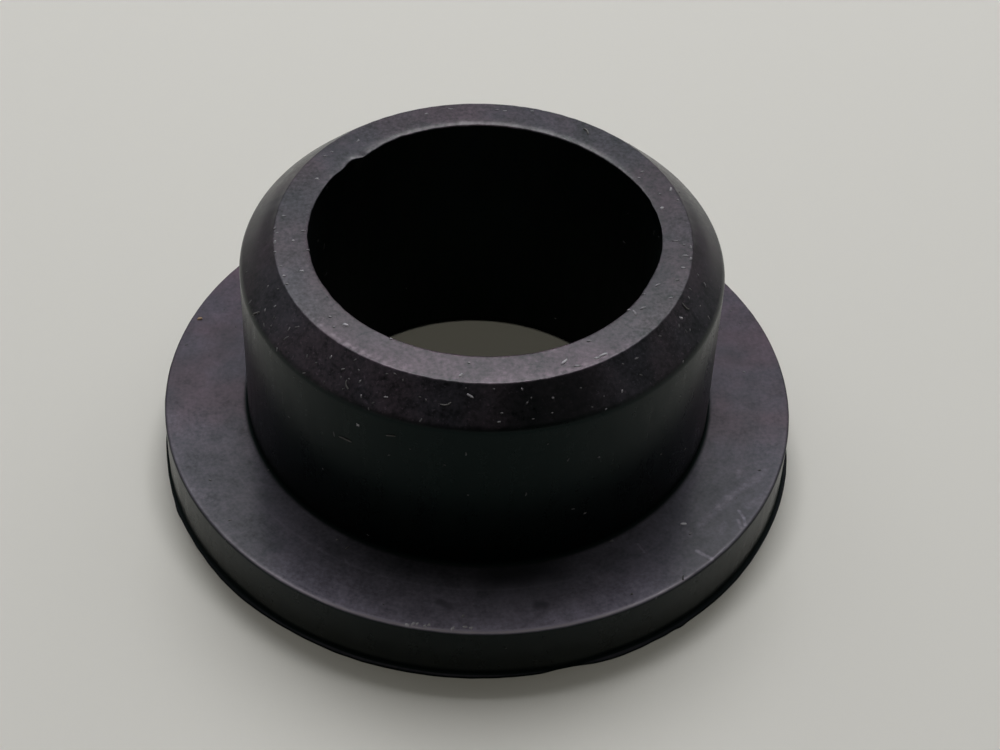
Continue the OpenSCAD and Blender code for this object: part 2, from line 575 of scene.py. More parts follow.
# %% Strokes between noted pixels
STROKE_CORE = 0.15
FLANGE_MARKS = [
    (440, 602, 450, 607, 0.5, -0.8), (538, 605, 545, 606, 0.6, -0.8), (505, 590, 545, 586, 3.5, -0.3),
    (268, 545, 276, 546, 1.2, -0.25), (330, 551, 336, 552, 0.9, -0.3), (264, 497, 268, 499, 1.2, -0.2),
    (729, 355, 734, 360, 1.2, -0.25), (222, 340, 232, 330, 1.5, -0.12), (208, 497, 218, 500, 1.5, 0.2),
    (193, 490, 202, 496, 0.45, 0.35), (763, 445, 764, 450, 1.3, 0.15), (185, 420, 200, 424, 2.5, 0.3),
    (216, 318, 230, 310, 1.8, 0.1), (697, 551, 712, 559, 0.24, 1.4), (739, 511, 744, 518, 0.2, 1.0),
    (744, 518, 745, 525, 0.2, 1.0), (738, 520, 741, 528, 0.2, 0.7), (638, 544, 644, 552, 0.15, 0.6),
    (701, 524, 717, 508, 0.5, 0.35), (717, 508, 728, 499, 0.6, 0.4), (729, 497, 745, 486, 0.45, 0.45),
    (745, 486, 764, 473, 0.6, 0.35), (748, 506, 766, 494, 0.5, 0.3), (739, 471, 738, 477, 0.3, 0.35),
    (724, 524, 722, 533, 0.35, 0.35), (699, 526, 700, 529, 0.35, 0.35), (688, 532, 690, 536, 0.25, 0.4),
    (345, 559, 349, 566, 0.18, 0.4), (318, 548, 326, 554, 0.25, 0.35), (407, 626, 430, 627, 0.2, 0.9),
    (452, 630, 456, 625, 0.25, 1.0), (462, 628, 474, 629, 0.28, 1.0),
]
LEAD_IN_MARKS = [
    (535, 405, 572, 398, 3.5, -2.4), (300, 340, 400, 393, 6.0, 1.9), (690, 290, 680, 330, 4.0, 0.15),
    (260, 256, 271, 240, 0.25, 1.0), (250, 224, 264, 217, 0.35, 0.7), (262, 330, 276, 322, 0.2, 0.6),
]


def marked(start, at, marks):
    """Sum over the strokes of gain x (1 - smooth step of the distance from the stroke, seen from above).
    A stroke's nearest point is tail + heading x the walked length, held between nought and its length."""
    ends, _, _ = on_the_ring([mark[:2] for mark in marks] + [mark[2:4] for mark in marks])
    ends[:, 2] = 0
    total = 0.0
    for mark, tail, head in zip(marks, ends[:len(marks)], ends[len(marks):]):
        half, gain = mark[4:]
        length = np.linalg.norm(head - tail)
        heading = (head - tail) / length
        step = start.vector("SUBTRACT", at.flat, tail)
        walked = start.vector("DOT_PRODUCT", step, heading, output="Value")
        walked = start.node("ShaderNodeClamp", None, {"Value": walked, "Min": 0, "Max": length})
        nearest = start.node("ShaderNodeVectorMath", {"operation": "SCALE"}, {0: heading, "Scale": walked})
        away = start.vector("DISTANCE", step, nearest, output="Value")
        total = total + gain * (1 - away.between(STROKE_CORE * half * MM, half * MM))
    return total


print(len(FLANGE_MARKS), "strokes on the flange and", len(LEAD_IN_MARKS), "on the lead-in")

# %% [markdown]
# The bloom
# Bloom settles on what faces up, so its thickness starts from a power of that value. Mottling, strokes
# and a few broad slopes then multiply it. On the flange the slopes are painted shade and light: darker
# beside the neck in front, where its shadow falls, and paler out towards the rim.
# A faint circle on the flange may show where another part once pressed. Worn edges are palest of all,
# partly as a painted highlight.

# %% How mottled the bloom is, and where the flange is paler
TURNED_SHARE = 0.2
SEAT_MARK_R = 20.87 * MM
SEAT_MARK_HALF = 0.10 * MM
SEAT_MARK_END = (3 * MM, 12 * MM)
AHEAD = (0.68, 0.92)
STRAIGHT_AHEAD = (0.72, 1.0)
OFF_NECK = (19.5 * MM, 22 * MM)
NEAR_RIM = (22 * MM, 24.5 * MM)
OUTWARDS = (18.5 * MM, 25.5 * MM)
RIGHTWARDS = (6 * MM, 14 * MM)
OUT_AT_BACK = (21 * MM, 24 * MM)
BACK_GAIN = 0.25


def mottled(at, noise):
    """One + each noise x its share, which is larger on the nose and largest on the lead-in's slope."""
    grain_share = 1 + at.on_nose
    cloud_share = 0.9 + 0.4 * at.on_nose + 2 * at.sloping
    patch_share = 0.6 + 0.3 * at.on_nose
    speck_share = (0.3 + 3 * at.sloping) * at.on_nose
    mottle = 1 + grain_share * noise.grain + cloud_share * noise.cloud + patch_share * noise.patch
    return mottle + TURNED_SHARE * noise.turned + speck_share * noise.speck


def seat_circle(at):
    """A faint circle on the flange's front: 1 / (1 + (distance from it / half width) squared)."""
    off_mark = (at.radius - SEAT_MARK_R) / SEAT_MARK_HALF
    left_part = 1 - at.right.between(*SEAT_MARK_END)
    return at.below_nose * at.faces_up * at.in_front * left_part / (1 + off_mark * off_mark)


def flange_painted_light_and_shade(at):
    """What the slopes add to the flange's bloom: painted shade beside the neck in front, painted light
    towards the rim, a paler front that is darker on its right, and a paler outer back.
    Ahead = distance to the front / radius.
    """
    ahead = at.front / at.radius
    ahead_gain = 0.65 - 0.35 * (1 - at.radius.between(*OFF_NECK)) + 0.3 * at.radius.between(*NEAR_RIM)
    straight_gain = 1.8 * at.radius.between(*OUTWARDS) - 1.15
    front_gain = 0.15 - 0.2 * at.right.between(*RIGHTWARDS)
    slopes = ahead.between(*AHEAD) * ahead_gain + ahead.between(*STRAIGHT_AHEAD) * straight_gain
    return slopes + at.in_front * front_gain + BACK_GAIN * at.behind * at.radius.between(*OUT_AT_BACK)


print(f"circle on the flange at {SEAT_MARK_R / MM:.1f} mm")

# %% How thick the bloom lies, and its colours
BLOOM_SHARE = 0.52
BLOOM_SETTLES = 3.0
NOSE_BLOOM = 0.72
BACK_NOSE_GAIN = 0.1
# The flash keeps a quarter of the bloom, a faint pale line that is partly a painted reflection of the
# bench.
FLASH_BLOOM_AND_REFLECTION = 0.25
STROKE_GAIN, STROKE_GRAIN = 0.9, 0.8
SEAT_MARK_GAIN = 0.2
WEAR_AND_GLINT_GAIN = 1.6
FRONT_THINNED = 0.46
FLAT_TOP = (0.8, 1)
# Where the nose's flat front carries a painted pink sheen.
SHEEN_FRONT = (8.5 * MM, 14 * MM)
SHEEN_LEAN = 0.04
WALL_BLACK = (0.0014, 0.0024, 0.0023, 1)
# Painted shade: inside the bore the rubber is painted darker than the walls.
BORE_SHADE_BLACK = (0.0006, 0.0010, 0.0009, 1)
PINK_BLOOM = (0.154, 0.112, 0.149, 1)
BLUE_BLOOM = (0.131, 0.113, 0.152, 1)
# Painted light: the foot's front, in the neck's shadow, gets a paler and bluer bloom.
PAINTED_LIGHT_FRONT_BLOOM = (0.254, 0.235, 0.310, 1)
# Colour of the painted sheen on the nose's front.
PAINTED_SHEEN_PINK = (0.208, 0.128, 0.194, 1)
# Pale worn edges, which are partly a painted highlight.
WEAR_AND_GLINT_BLOOM = (0.29, 0.26, 0.29, 1)


def bloom_cover(start, at, noise, seat_mark):
    """How much the bloom hides: share x (settled x mottle x marks + the circle + the worn edges).
    The marks carry the flange's painted shade and light; the worn edges are partly a painted highlight.
    """
    strokes = (STROKE_GAIN + STROKE_GRAIN * noise.grain) * marked(start, at, FLANGE_MARKS)
    # The flange's slopes add painted shade beside the neck and painted light towards the rim.
    marks = 1 + at.below_nose * (flange_painted_light_and_shade(at) + strokes)
    marks = marks + at.sloping * marked(start, at, LEAD_IN_MARKS)
    # The bloom stops short of the neck's root, so that crease stays black: painted shade.
    settled = at.faces_up ** BLOOM_SETTLES * (1 - (1 - NOSE_BLOOM) * at.on_nose) * at.clear_of_root
    # On the flash the bloom is cut to a quarter; that pale line is partly a painted reflection.
    settled = settled * (at.above_flash + FLASH_BLOOM_AND_REFLECTION * at.on_flash)
    settled = settled * (1 + BACK_NOSE_GAIN * at.on_nose * at.behind)
    lines = SEAT_MARK_GAIN * seat_mark + WEAR_AND_GLINT_GAIN * at.worn
    return BLOOM_SHARE * (settled * mottled(at, noise) * marks + lines)


def rubber_colour(at, noise, cover):
    """Black rubber under the bloom's colour. On the foot's front the bloom is thinner but paler and bluer,
    which is painted light in the neck's shadow. The nose's flat front has a painted pink sheen,
    the bore is painted a darker black as shade, and worn edges, partly a painted highlight, are palest.
    """
    foot_front = at.in_front * at.below_nose
    worn = at.worn.clamped()
    bloom = (cover * (1 - FRONT_THINNED * foot_front * (1 - worn))).clamped()
    # A painted sheen on the nose's flat front, leaning a little to the right.
    nose_front_sheen = at.on_nose * at.faces_up.between(*FLAT_TOP)
    nose_front_sheen = nose_front_sheen * (at.front + SHEEN_LEAN * at.right).between(*SHEEN_FRONT)
    # The foot's front takes the paler tone of painted light.
    tone = foot_front.mixed(noise.tinge.mixed(PINK_BLOOM, BLUE_BLOOM), PAINTED_LIGHT_FRONT_BLOOM)
    tone = worn.mixed(nose_front_sheen.mixed(tone, PAINTED_SHEEN_PINK), WEAR_AND_GLINT_BLOOM)
    # The bore takes the darker black of painted shade.
    return bloom.mixed(at.in_bore.mixed(WALL_BLACK, BORE_SHADE_BLACK), tone)


print(f"the bloom hides {BLOOM_SHARE:.0%} of a face that looks straight up")

# %% How satin the rubber is, and where the film lies
WALL_SATIN = 0.30
BLOOM_MATT = 0.4
FLASH_MATT = 0.3
BORE_MATT = 0.3
ROOT_MATT = 0.4
NOISE_MATT = 0.10
DRAG_MATT = 0.18
FOOT_FILM = 0.14
RIM_FILM, SIDE_FILM = 1.2, 1.8
NOSE_FILM = 0.45
EDGE_FILM = 0.3
NOSE_SLOPES = (0.1, 0.75)
EDGE_BEGINS, EDGE_ENDS = (0.74, 0.82), (0.95, 0.99)
EDGE_WIPED = 0.7
FILM_GRAIN, FILM_CLOUD = 1.3, 0.8


def rubber_satin(at, noise, cover):
    """Roughness: satin walls with streaks, matter in bloom, on the flash, in the bore and at the root."""
    satin = WALL_SATIN + BLOOM_MATT / BLOOM_SHARE * cover.clamped()
    satin = satin + NOISE_MATT * (noise.grain + noise.cloud) + FLASH_MATT * (1 - at.above_flash)
    satin = satin + DRAG_MATT * noise.dragged * (1 - at.faces_up)
    return satin + BORE_MATT * at.in_bore + ROOT_MATT * at.at_root


def rubber_film(at, noise):
    """Coat weight: a film on the foot, thicker low on its rim, and on the nose's slopes, not its edge."""
    foot = FOOT_FILM * at.on_foot * at.clear_of_root * at.above_flash
    foot = foot * (1 + at.low_on_rim * (RIM_FILM + SIDE_FILM * at.beside))
    on_edge = at.faces_up.between(*EDGE_BEGINS) * (1 - at.faces_up.between(*EDGE_ENDS))
    nose = NOSE_FILM * at.on_nose * at.faces_up.between(*NOSE_SLOPES) * (1 - EDGE_WIPED * on_edge)
    film = (foot + nose) * (1 + FILM_GRAIN * noise.grain + FILM_CLOUD * noise.cloud)
    return (film + EDGE_FILM * at.worn * at.below_nose).clamped()


print(f"roughness {WALL_SATIN} on the walls, film of {FOOT_FILM} on the foot and {NOSE_FILM} on the nose")

# %% Black rubber, and the ring
WALL_SHEEN = 0.10
# Painted reflection: a green cast in the rubber's sheen gives the walls their greenish reflections.
PAINTED_GREEN_SHEEN_TINT = (0.55, 1.0, 0.97, 1)
FILM_SATIN = 0.22
RELIEF_SHARE = 0.25
RELIEF_DEPTH = 0.02 * MM
GRAIN_HIGH, CLOUD_HIGH, MARK_HIGH = 0.5, 0.8, 0.3
FLAT_FACE = 0.9
RIM_WEAR_AND_GLINT_AT, RIM_WEAR_AND_GLINT_REACH = (rim_r - 0.14 * MM, flange_z), 0.13 * MM
NOSE_WEAR_AND_GLINT_AT, NOSE_WEAR_AND_GLINT_REACH = (nose_r - 0.3 * MM, nose_z), 0.22 * MM
WEAR_AND_GLINT_MOST = 1.5


def black_rubber():
    material, shader, start = new_material("black_rubber")
    at = ring_places(start)
    noise = ring_noise(start, at)
    seat_mark = seat_circle(at)
    cover = bloom_cover(start, at, noise, seat_mark)
    feed(start, shader, "Base Color", rubber_colour(at, noise, cover))
    feed(start, shader, "Roughness", rubber_satin(at, noise, cover))
    feed(start, shader, "Coat Weight", rubber_film(at, noise))
    height = GRAIN_HIGH * noise.grain + CLOUD_HIGH * noise.cloud + MARK_HIGH * seat_mark
    bump = {"Strength": RELIEF_SHARE, "Distance": RELIEF_DEPTH, "Height": height}
    feed(start, shader, "Normal", start.node("ShaderNodeBump", None, bump))
    shader.inputs["Specular IOR Level"].default_value = WALL_SHEEN
    # The sheen carries a painted green cast.
    shader.inputs["Specular Tint"].default_value = PAINTED_GREEN_SHEEN_TINT
    shader.inputs["Coat Roughness"].default_value = FILM_SATIN
    return material


def facing_up(points):
    """How far each point of the ring faces up, from nought to one.
    The normal is the cross product of the steps round the axis and along the section."""
    round_step = np.roll(points, -1, 0) - np.roll(points, 1, 0)
    section_step = np.roll(points, -1, 1) - np.roll(points, 1, 1)
    normal = np.cross(round_step, section_step)
    normal /= np.linalg.norm(normal, axis=-1, keepdims=True)
    return np.clip(normal[..., 2], 0, 1)


ring = add_piece("rubber_ring", ring_points, ring_faces, black_rubber())
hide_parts("insulating_ring")
faces_up = facing_up(ring_points)
write_values(ring, "faces_up", faces_up)
# How worn each point's edge is, partly a painted highlight.
worn_edge = flange_wear_and_glint[:, None] * edge_share(section, RIM_WEAR_AND_GLINT_AT, RIM_WEAR_AND_GLINT_REACH)
worn_edge = worn_edge + nose_wear_and_glint[:, None] * edge_share(section, NOSE_WEAR_AND_GLINT_AT, NOSE_WEAR_AND_GLINT_REACH)
write_values(ring, "worn_edge", np.clip(worn_edge, 0, WEAR_AND_GLINT_MOST))
print("share of points that face up:", round(float((faces_up > FLAT_FACE).mean()), 2))

# %% [markdown]
# Dust and lint
# Rubber is sticky and charges up as it is handled, so a black ring is never clean. The photograph shows
# pale flecks on the lead-in, the nose and the flange's front edge, a few bent fibres and one brown grain.
# Painted dust would blur in a texture, so each fleck is a tiny solid. The ones that the photograph shows
# are noted by their pixel. A ray through that pixel finds the spot on the ring, so they sit on the rubber
# from every side. A fleck's note is: across, down, length in pixels, slope in degrees and paleness.
# A fibre's note is: half width in millimetres, paleness and the pixels of its path.

# %% What the photograph shows on the ring
LEAD_IN_FLECKS = [
    (247, 272, 3, 0, 0.3), (268, 286, 3, 60, 0.5), (278, 289, 3, 0, 0.5), (250, 302, 5, 45, 0.4),
    (275, 306, 3, 30, 0.9), (265, 310, 4, 80, 0.7), (254, 314, 4, 20, 0.8), (258, 313, 4, 10, 0.6),
    (274, 317, 4, 90, 0.2), (289, 329, 5, 60, 0.5), (297, 327, 6, 5, 0.4), (286, 338, 8, 22, 0.4),
    (277, 349, 5, 85, 0.5), (264, 325, 5, -60, 0.2), (271, 326, 3, 80, 0.2), (307, 356, 4, 80, 0.3),
    (331, 357, 4, 45, 0.65), (316, 363, 3, 0, 0.2), (304, 373, 4, 0, 0.4), (343, 369, 5, 5, 0.5),
    (359, 370, 3, -40, 0.4), (355, 360, 4, 30, 0.2), (341, 377, 3, 70, 0.4), (349, 379, 3, -50, 0.3),
    (360, 381, 4, 45, 0.6), (324, 382, 3, 90, 0.2), (343, 389, 4, 20, 0.2), (361, 396, 5, 88, 0.6),
    (386, 397, 7, -8, 0.85), (387, 374, 4, 0, 0.2), (395, 374, 4, -30, 0.2), (403, 380, 3, 90, 0.2),
    (420, 397, 4, 0, 0.15), (373, 403, 4, 30, 0.15), (421, 420, 5, 50, 0.3), (470, 396, 8, -30, 1.0),
    (426, 400, 3, 90, 0.25), (499, 422, 5, 5, 0.5), (502, 413, 4, 0, 0.35), (527, 403, 4, 60, 0.3),
    (522, 389, 4, -45, 0.6), (494, 389, 3, 0, 0.25), (466, 388, 3, 80, 0.2), (553, 398, 3, 0, 0.5),
    (531, 398, 3, 40, 0.15), (552, 413, 4, 20, 0.15), (533, 419, 4, 0, 0.12), (698, 275, 4, -50, 0.4),
    (705, 285, 7, -78, 0.5), (690, 289, 4, 0, 0.4), (689, 298, 4, 85, 0.4), (700, 306, 3, 30, 0.3),
    (681, 318, 4, 10, 1.4), (709, 318, 5, -62, 0.35), (679, 326, 5, 85, 0.25), (686, 331, 4, -40, 0.2),
    (660, 336, 4, 0, 0.25), (637, 358, 5, 20, 0.4), (623, 364, 3, 0, 0.2), (683, 362, 4, 60, 0.25),
    (641, 375, 5, -5, 0.15), (622, 391, 5, 70, 0.8), (606, 409, 3, 30, 0.4), (581, 388, 3, 0, 0.15),
    (592, 407, 3, 0, 0.12),
]
NOSE_FLECKS = [
    (302, 271, 4, 10, 0.7), (284, 276, 3, 0, 0.7), (281, 266, 3, 0, 0.5), (287, 284, 3, 30, 0.4),
    (330, 317, 3, 0, 0.4), (346, 325, 5, -35, 1.0), (334, 327, 3, 20, 0.35), (391, 339, 3, 0, 0.7),
    (461, 375, 5, 60, 0.7), (469, 363, 3, 0, 0.6), (564, 362, 7, 65, 1.0), (589, 341, 4, 30, 0.4),
    (603, 355, 8, 42, 1.0), (597, 358, 6, 30, 0.7), (578, 366, 7, 12, 0.45),
    (644, 294, 3, 0, 0.3), (629, 310, 3, 0, 0.6), (635, 313, 6, -75, 0.5),
    (643, 308, 6, 45, 0.5), (658, 285, 5, 45, 0.5), (671, 298, 4, 0, 0.5), (677, 280, 3, 0, 0.4),
    (317, 179, 4, 0, 0.8), (427, 114, 4, 0, 0.5), (451, 109, 6, 0, 0.4), (358, 141, 4, 70, 0.4),
    (325, 156, 4, 30, 0.3), (332, 152, 3, 0, 0.3), (303, 231, 4, 20, 0.4), (284, 216, 5, 5, 0.35),
    (277, 233, 3, 0, 0.5), (275, 228, 3, 80, 0.3), (275, 242, 4, 85, 0.35), (275, 252, 3, 0, 0.4),
    (293, 241, 3, 0, 0.8), (308, 250, 3, 0, 0.25), (662, 208, 4, 20, 0.9), (675, 241, 7, -15, 0.45),
    (686, 256, 7, -15, 0.5), (684, 268, 6, -10, 0.5), (671, 189, 5, 80, 0.6), (660, 194, 3, 0, 0.4),
    (684, 245, 3, -20, 0.35), (678, 200, 3, 0, 0.3), (691, 247, 4, 85, 0.3), (691, 259, 4, 80, 0.35),
    (642, 172, 4, 30, 0.35), (639, 178, 3, 0, 0.4), (497, 110, 4, 0, 0.4), (505, 111, 4, 10, 0.4),
    (532, 111, 3, 0, 0.3),
]
WALL_FLECKS = [
    (358, 425, 4, 0, 1.6), (334, 434, 5, 70, 0.35), (289, 417, 3, 0, 0.2),
    (389, 455, 3, 40, 0.2), (410, 449, 3, 0, 0.15), (466, 454, 4, 85, 0.25), (445, 465, 3, 0, 0.12),
    (568, 460, 4, 80, 0.25), (599, 457, 3, 0, 0.5), (548, 444, 3, 0, 0.12), (685, 449, 3, 20, 0.3),
    (585, 513, 5, 30, 0.35), (573, 509, 4, -20, 0.25), (526, 494, 5, 88, 0.2), (468, 495, 3, 0, 0.15),
    (654, 233, 3, 20, 0.15), (659, 237, 3, -60, 0.12), (324, 246, 4, -40, 0.15), (318, 241, 4, 70, 0.1),
    (624, 242, 3, 0, 0.35), (326, 274, 3, 0, 0.15), (327, 188, 3, 20, 0.12),
    (661, 454, 3, 0, 0.15), (632, 594, 3, 0, 0.25), (656, 598, 3, 40, 0.2), (690, 590, 3, 0, 0.2),
]
FLANGE_FLECKS = [
    (683, 524, 6, 0, 1.5), (690, 534, 3, 60, 0.3), (612, 541, 4, 30, 0.25), (337, 540, 3, 0, 0.3),
    (368, 535, 3, 0, 0.15), (347, 548, 4, 60, 0.15), (744, 372, 3, 0, 0.4), (690, 330, 3, 80, 0.4),
    (760, 470, 3, 0, 0.3), (210, 480, 3, 0, 0.3), (230, 520, 3, 40, 0.25), (407, 625, 5, -10, 1.3),
    (413, 624, 4, 60, 1.2), (417, 624, 3, 80, 1.0), (425, 626, 4, -5, 1.0), (429, 625, 3, 70, 1.0),
    (453, 628, 4, 60, 1.1), (465, 627, 5, -15, 1.2), (471, 628, 4, 20, 1.2), (463, 616, 3, 70, 0.6),
]
LINT_PATHS = [
    (0.05, 0.6, [(339, 436), (345, 438), (352, 442)]),
    (0.055, 0.45, [(347, 380), (345, 384), (347, 388), (349, 389)]),
    (0.055, 0.35, [(440, 404), (445, 406), (449, 405), (451, 402)]),
    (0.055, 0.5, [(682, 303), (684, 307), (687, 310), (689, 309)]),
    (0.055, 0.6, [(253, 315), (256, 313), (260, 312)]),
    (0.05, 0.3, [(386, 435), (391, 435), (396, 436)]),
    (0.07, 0.8, [(583, 129), (588, 130), (588, 135)]),
]
DARK_TICK = (683, 578, 5, 85, 0.0)
BROWN_GRAIN = (200, 319)
noted = np.array(LEAD_IN_FLECKS + NOSE_FLECKS + WALL_FLECKS + FLANGE_FLECKS + [DARK_TICK])
fleck_at, fleck_normal, fleck_away = on_the_ring(noted[:, :2])
print(len(fleck_at), "of", len(noted), "noted flecks found their spot")

# %% [markdown]
# A fleck's shape
# One unit ball with a few dozen faces serves all flecks. It is stretched along the slope, pressed flat
# against the rubber, and dented at random so that no two look alike. Flecks that nobody noted,
# on the sides that the photograph doesn't show, are scattered at random where dust would settle.

# %% Flecks as dented balls
BALL_ROUND = 8
BALL_RINGS = 3
DENTS = 0.35
FLECK_FLAT = 0.6
DUST_SEED = 29
dust_draw = np.random.default_rng(DUST_SEED)


def unit_ball():
    """Points and triangles of a ball with two poles.
    A ring at polar angle a lies at height cos(a) with radius sin(a)."""
    polar = (np.pi * np.arange(1, BALL_RINGS + 1) / (BALL_RINGS + 1))[:, None]
    turn = TAU * np.arange(BALL_ROUND) / BALL_ROUND
    rings = [np.sin(polar) * np.cos(turn), np.sin(polar) * np.sin(turn), np.cos(polar)]
    rings = np.stack(np.broadcast_arrays(*rings), -1)
    points = np.concatenate([rings.reshape(-1, 3), [(0, 0, 1), (0, 0, -1)]])
    here = np.arange(BALL_ROUND)
    beside = (here + 1) % BALL_ROUND
    top, bottom = BALL_RINGS * BALL_ROUND, BALL_RINGS * BALL_ROUND + 1
    last = (BALL_RINGS - 1) * BALL_ROUND
    faces = [np.stack([here, beside, np.full(BALL_ROUND, top)], 1)]
    faces += [np.stack([last + beside, last + here, np.full(BALL_ROUND, bottom)], 1)]
    for first in range(0, last, BALL_ROUND):
        below = first + BALL_ROUND
        faces += [np.stack([first + here, below + here, below + beside], 1)]
        faces += [np.stack([first + here, below + beside, first + beside], 1)]
    return points, np.concatenate(faces)


def flecks(spots, normals, along, half_length, half_width):
    """Points and triangles of one dented, flattened ball at each spot.
    Point = spot + dent x (along x half length x ball x + across x half width x ball y
    + normal x half width x flatness x ball z)."""
    ball, triangles = unit_ball()
    dents = 1 + dust_draw.uniform(-DENTS, DENTS, (len(spots), len(ball), 1))
    long = along * half_length[:, None]
    wide = np.cross(normals, along) * half_width[:, None]
    tall = normals * half_width[:, None] * FLECK_FLAT
    points = spots[:, None] + np.einsum("pk,nkd->npd", ball, np.stack([long, wide, tall], 1)) * dents
    faces = triangles[None] + np.arange(len(spots))[:, None, None] * len(ball)
    return points, faces.reshape(-1, 3)


print("a fleck has", len(unit_ball()[1]), "triangles")

# %% Flecks that nobody noted
SCATTERED = 140
WALL_DUST = 0.15
BORE_DUST = 0.1
SEEN_DUST = 0.1
FACES_DOWN = -0.2
OFF_BENCH = 1 * MM
BORE_LIP = 0.3 * MM
BACK_FROM = 6 * MM
UNDER_NOSE = 0.2 * MM
STRAY_HALF_MM, STRAY_SPREAD = 0.075, 0.45
STRAY_PALE = (0.03, 0.24)


def random_spots(count):
    """Seeded spots on the ring, one in each chosen cell of its grid.
    A cell's chance is its area x (wall dust + how far it faces up), so dust gathers on what looks up."""
    round_step = np.roll(ring_points, -1, 0) - ring_points
    section_step = np.roll(ring_points, -1, 1) - ring_points
    cross = np.cross(round_step, section_step)
    area = np.linalg.norm(cross, axis=-1)
    normal = cross / area[..., None]
    right, back, high = np.moveaxis(ring_points, -1, 0)
    chance = area * (WALL_DUST + np.clip(normal[..., 2], 0, 1))
    chance = chance * (normal[..., 2] > FACES_DOWN) * (high > OFF_BENCH)
    unseen = SEEN_DUST + (1 - SEEN_DUST) * (back > BACK_FROM) * (high < nose_z - UNDER_NOSE)
    in_bore = np.hypot(right, back) < bore_r + BORE_LIP
    chance = (np.where(in_bore, BORE_DUST * chance, chance) * unseen).ravel()
    cells = dust_draw.choice(chance.size, count, replace=False, p=chance / chance.sum())
    return ring_points.reshape(-1, 3)[cells], normal.reshape(-1, 3)[cells]


stray_at, stray_normal = random_spots(SCATTERED)
stray_along = lay_flat(dust_draw.normal(size=(SCATTERED, 3)), stray_normal)
stray_half = dust_draw.lognormal(np.log(STRAY_HALF_MM), STRAY_SPREAD, SCATTERED) * MM
stray_pale = dust_draw.uniform(*STRAY_PALE, SCATTERED)
print(SCATTERED, "flecks scattered at random")

# %% How long, wide and pale each fleck is
FLECK_WIDTH = 0.068 * MM
STRAY_WIDTH = 0.7 * FLECK_WIDTH
SHORTEST_SEEN = 0.4
TOP_LONG, WALL_LONG = 1.1, 0.85
TOP_PALE, WALL_PALE, NOSE_PALE = 0.8, 0.54, 0.15
TOP_WIDE = 1.25
LEAST_WIDE, PALE_WIDE = 0.8, 0.7

slope = np.radians(noted[:, 3])
fleck_heading = np.outer(np.cos(slope), camera_right) + np.outer(np.sin(slope), camera_up)
fleck_along = lay_flat(fleck_heading, fleck_normal)
seen_share = np.clip(np.sum(fleck_heading * fleck_along, 1), SHORTEST_SEEN, 1)
on_top = fleck_normal[:, 2] > FLAT_FACE
on_nose = on_top & (fleck_at[:, 2] > lead_in_z)
fleck_half = np.where(on_top, TOP_LONG, WALL_LONG) * noted[:, 2] * fleck_away / FOCAL_PX / 2 / seen_share
fleck_pale = noted[:, 4] * np.where(on_top, TOP_PALE, WALL_PALE) + NOSE_PALE * on_nose
fleck_width = FLECK_WIDTH * (LEAST_WIDE + PALE_WIDE * fleck_pale) * np.where(on_top, TOP_WIDE, 1)
all_half = np.concatenate([fleck_half, stray_half])
all_width = np.minimum(all_half, np.concatenate([fleck_width, np.full(SCATTERED, STRAY_WIDTH)]))
fleck_points, fleck_faces = flecks(
    np.concatenate([fleck_at, stray_at]), np.concatenate([fleck_normal, stray_normal]),
    np.concatenate([fleck_along, stray_along]), all_half, all_width)
print(f"{len(fleck_points)} flecks, the longest {2 * all_half.max() / MM:.2f} mm")

# %% [markdown]
# Fibres of lint
# A fibre of lint is a thin tube on a bent path. The path is a smooth curve that the noted pixels pull
# towards themselves, lifted by most of the tube's radius so that it lies on the rubber and not in it.

# %% Tubes along noted paths
PATH_STEPS = 14
TUBE_SIDES = 6
TUBE_LIFT = 0.8
END_FLOOR = 0.05


def bend(controls):
    """Smooth curve: each control point's weight at share s is choose(n, k) s^k (1 - s)^(n - k)."""
    last = len(controls) - 1
    share = np.linspace(0, 1, PATH_STEPS)[:, None]
    step = np.arange(last + 1)
    choose = np.cumprod(np.concatenate([[1.0], (last - step[:-1]) / (step[:-1] + 1)]))
    return (choose * share ** step * (1 - share) ** (last - step)) @ controls


def fibre(pixels, half_width):
    """Points and faces of a closed tube with rounded ends along the noted pixels.
    Ring = path + normal x lift + across x radius x cos(a) + normal x radius x sin(a), with
    radius = half width x (1 - (2 s - 1)^6)^0.5, floored so that the ends stay wide enough to shade."""
    spots, normals, _ = on_the_ring(pixels)
    path = bend(spots)
    up = bend(normals)
    up /= np.linalg.norm(up, axis=1, keepdims=True)
    along = lay_flat(np.gradient(path, axis=0), up)
    across = np.cross(up, along)
    share = np.linspace(-1, 1, PATH_STEPS)
    radius = half_width * np.sqrt(np.clip(1 - share ** 6, END_FLOOR, 1))
    around = TAU * np.arange(TUBE_SIDES) / TUBE_SIDES
    wide = across[:, None] * (radius[:, None] * np.cos(around))[..., None]
    tall = up[:, None] * (radius[:, None] * np.sin(around))[..., None]
    points = path[:, None] + wide + tall + up[:, None] * half_width * TUBE_LIFT
    first = np.arange(TUBE_SIDES)
    rows = np.arange(PATH_STEPS - 1)[:, None] * TUBE_SIDES
    here = rows + first
    beside = rows + (first + 1) % TUBE_SIDES
    sides = np.stack([here, beside, beside + TUBE_SIDES, here + TUBE_SIDES], -1).reshape(-1, 4)
    ends = [first[::-1].tolist(), (first + (PATH_STEPS - 1) * TUBE_SIDES).tolist()]
    return points.reshape(-1, 3), sides.tolist() + ends


def joined(parts):
    """Several point and face lists as one, with each part's faces counted on from the last."""
    all_points = []
    all_faces = []
    count = 0
    for points, faces in parts:
        all_points.append(points)
        all_faces += [[corner + count for corner in face] for face in faces]
        count += len(points)
    return np.concatenate(all_points), all_faces


lint_points, lint_faces = joined([fibre(path, half * MM) for half, _, path in LINT_PATHS])
print(len(LINT_PATHS), "fibres of", len(lint_faces) // len(LINT_PATHS), "faces each")

